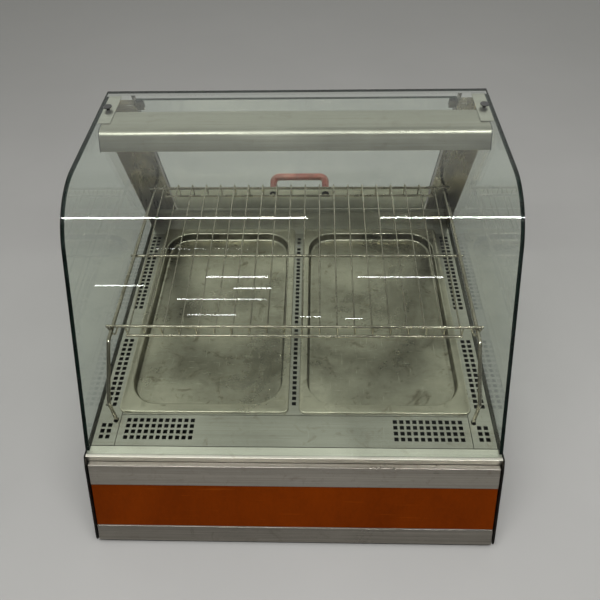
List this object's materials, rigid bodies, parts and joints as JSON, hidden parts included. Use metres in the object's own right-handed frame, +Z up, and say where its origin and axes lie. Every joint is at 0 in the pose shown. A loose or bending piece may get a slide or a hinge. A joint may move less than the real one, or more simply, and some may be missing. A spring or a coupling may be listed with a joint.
{
  "type": "heated bakery display case",
  "caption": "Counter-top heated display case with bent front glass, rear flap door, wire shelf, perforated deck, lift-out pans and a lamp canopy.",
  "frame": {"origin": "middle of the bounding box on the counter surface under the feet", "axes": "+Z up, -Y towards the customer side with the bent glass, +Y towards the rear flap door, +X to the right seen from the customer side"},
  "size_m": [0.756, 0.8166, 0.5709],
  "materials": {
    "stainless": "brushed",
    "pan_steel": "polished, worn",
    "fascia_enamel": "gloss",
    "clear_glass": "clear, green edge",
    "bright_wire": "bright",
    "maroon_plastic": "satin",
    "black_plastic": "satin",
    "red_plastic": "gloss",
    "rubber": "matte",
    "ceramic_white": "glazed",
    "lamp_glass": "frosted",
    "amber_lens": "clear"
  },
  "bodies": {
    "case": {"base_tray": "stainless", "left_side_plate": "stainless", "right_side_plate": "stainless", "fascia_top_trim": "stainless", "front_bottom_rail": "stainless", "rear_panel": "stainless", "front_ledge": "stainless", "deck_side_left": "stainless", "deck_side_right": "stainless", "deck_centre_bar": "stainless", "deck_rear_ledge": "stainless", "heater_mount_bar": "stainless", "heater_left": "stainless", "heater_right": "stainless", "glass_bracket_left": "stainless", "glass_bracket_right": "stainless", "left_post": "stainless", "right_post": "stainless", "lamp_canopy": "stainless", "fascia_panel": "fascia_enamel", "front_glass": "clear_glass", "left_glass": "clear_glass", "right_glass": "clear_glass", "thermostat_body": "black_plastic", "power_switch_body": "black_plastic", "lamp_switch_body": "black_plastic", "cable_gland": "black_plastic", "glass_cap_left": "black_plastic", "glass_cap_right": "black_plastic", "canopy_end_left": "black_plastic", "canopy_end_right": "black_plastic", "front_left_foot": "rubber", "front_right_foot": "rubber", "rear_left_foot": "rubber", "rear_right_foot": "rubber", "terminal_block": "ceramic_white", "lamp_holder_left": "ceramic_white", "lamp_holder_right": "ceramic_white", "lamp_tube": "lamp_glass", "pilot_lamp": "amber_lens"},
    "rear_door": {"rear_door_glass": "clear_glass", "rear_door_rail": "stainless", "door_handle": "maroon_plastic", "handle_washer_left": "rubber", "handle_washer_right": "rubber", "handle_screw_left": "bright_wire", "handle_screw_right": "bright_wire", "door_pivot_left": "stainless", "door_pivot_right": "stainless"},
    "shelf": {"shelf_grid": "bright_wire", "shelf_front_rail": "bright_wire", "shelf_rear_rail": "bright_wire", "shelf_support_left": "bright_wire", "shelf_support_right": "bright_wire"},
    "left_pan": {"pan_left": "pan_steel"},
    "right_pan": {"pan_right": "pan_steel"},
    "front_grille": {"front_grille_panel": "stainless"},
    "knob": {"thermostat_knob": "black_plastic"},
    "power_rocker": {"power_switch_rocker": "red_plastic"},
    "lamp_rocker": {"lamp_switch_rocker": "red_plastic"}
  },
  "joints": [
    {"name": "rear_door_hinge", "type": "hinge", "parent": "case", "child": "rear_door", "pos_m": [0, 0.25495, 0.549], "axis": [1, 0, 0], "range_deg": [0, 90]},
    {"name": "shelf_lift", "type": "slide", "parent": "case", "child": "shelf", "axis": [0, -0.3134, 0.9496], "range_m": [0, 0.025]},
    {"name": "left_pan_lift", "type": "slide", "parent": "case", "child": "left_pan", "axis": [0, 0, 1], "range_m": [0, 0.04]},
    {"name": "right_pan_lift", "type": "slide", "parent": "case", "child": "right_pan", "axis": [0, 0, 1], "range_m": [0, 0.04]},
    {"name": "front_grille_tip", "type": "hinge", "parent": "case", "child": "front_grille", "pos_m": [0, -0.29925, 0.178], "axis": [1, 0, 0], "range_deg": [0, 40]},
    {"name": "thermostat_turn", "type": "hinge", "parent": "case", "child": "knob", "pos_m": [0.26, 0.39175, 0.096], "axis": [0, -1, 0], "range_deg": [0, 300]},
    {"name": "power_switch_tilt", "type": "hinge", "parent": "case", "child": "power_rocker", "pos_m": [0.196, 0.39175, 0.096], "axis": [1, 0, 0], "range_deg": [0, 20]},
    {"name": "lamp_switch_tilt", "type": "hinge", "parent": "case", "child": "lamp_rocker", "pos_m": [0.152, 0.39175, 0.096], "axis": [1, 0, 0], "range_deg": [0, 20]}
  ]
}
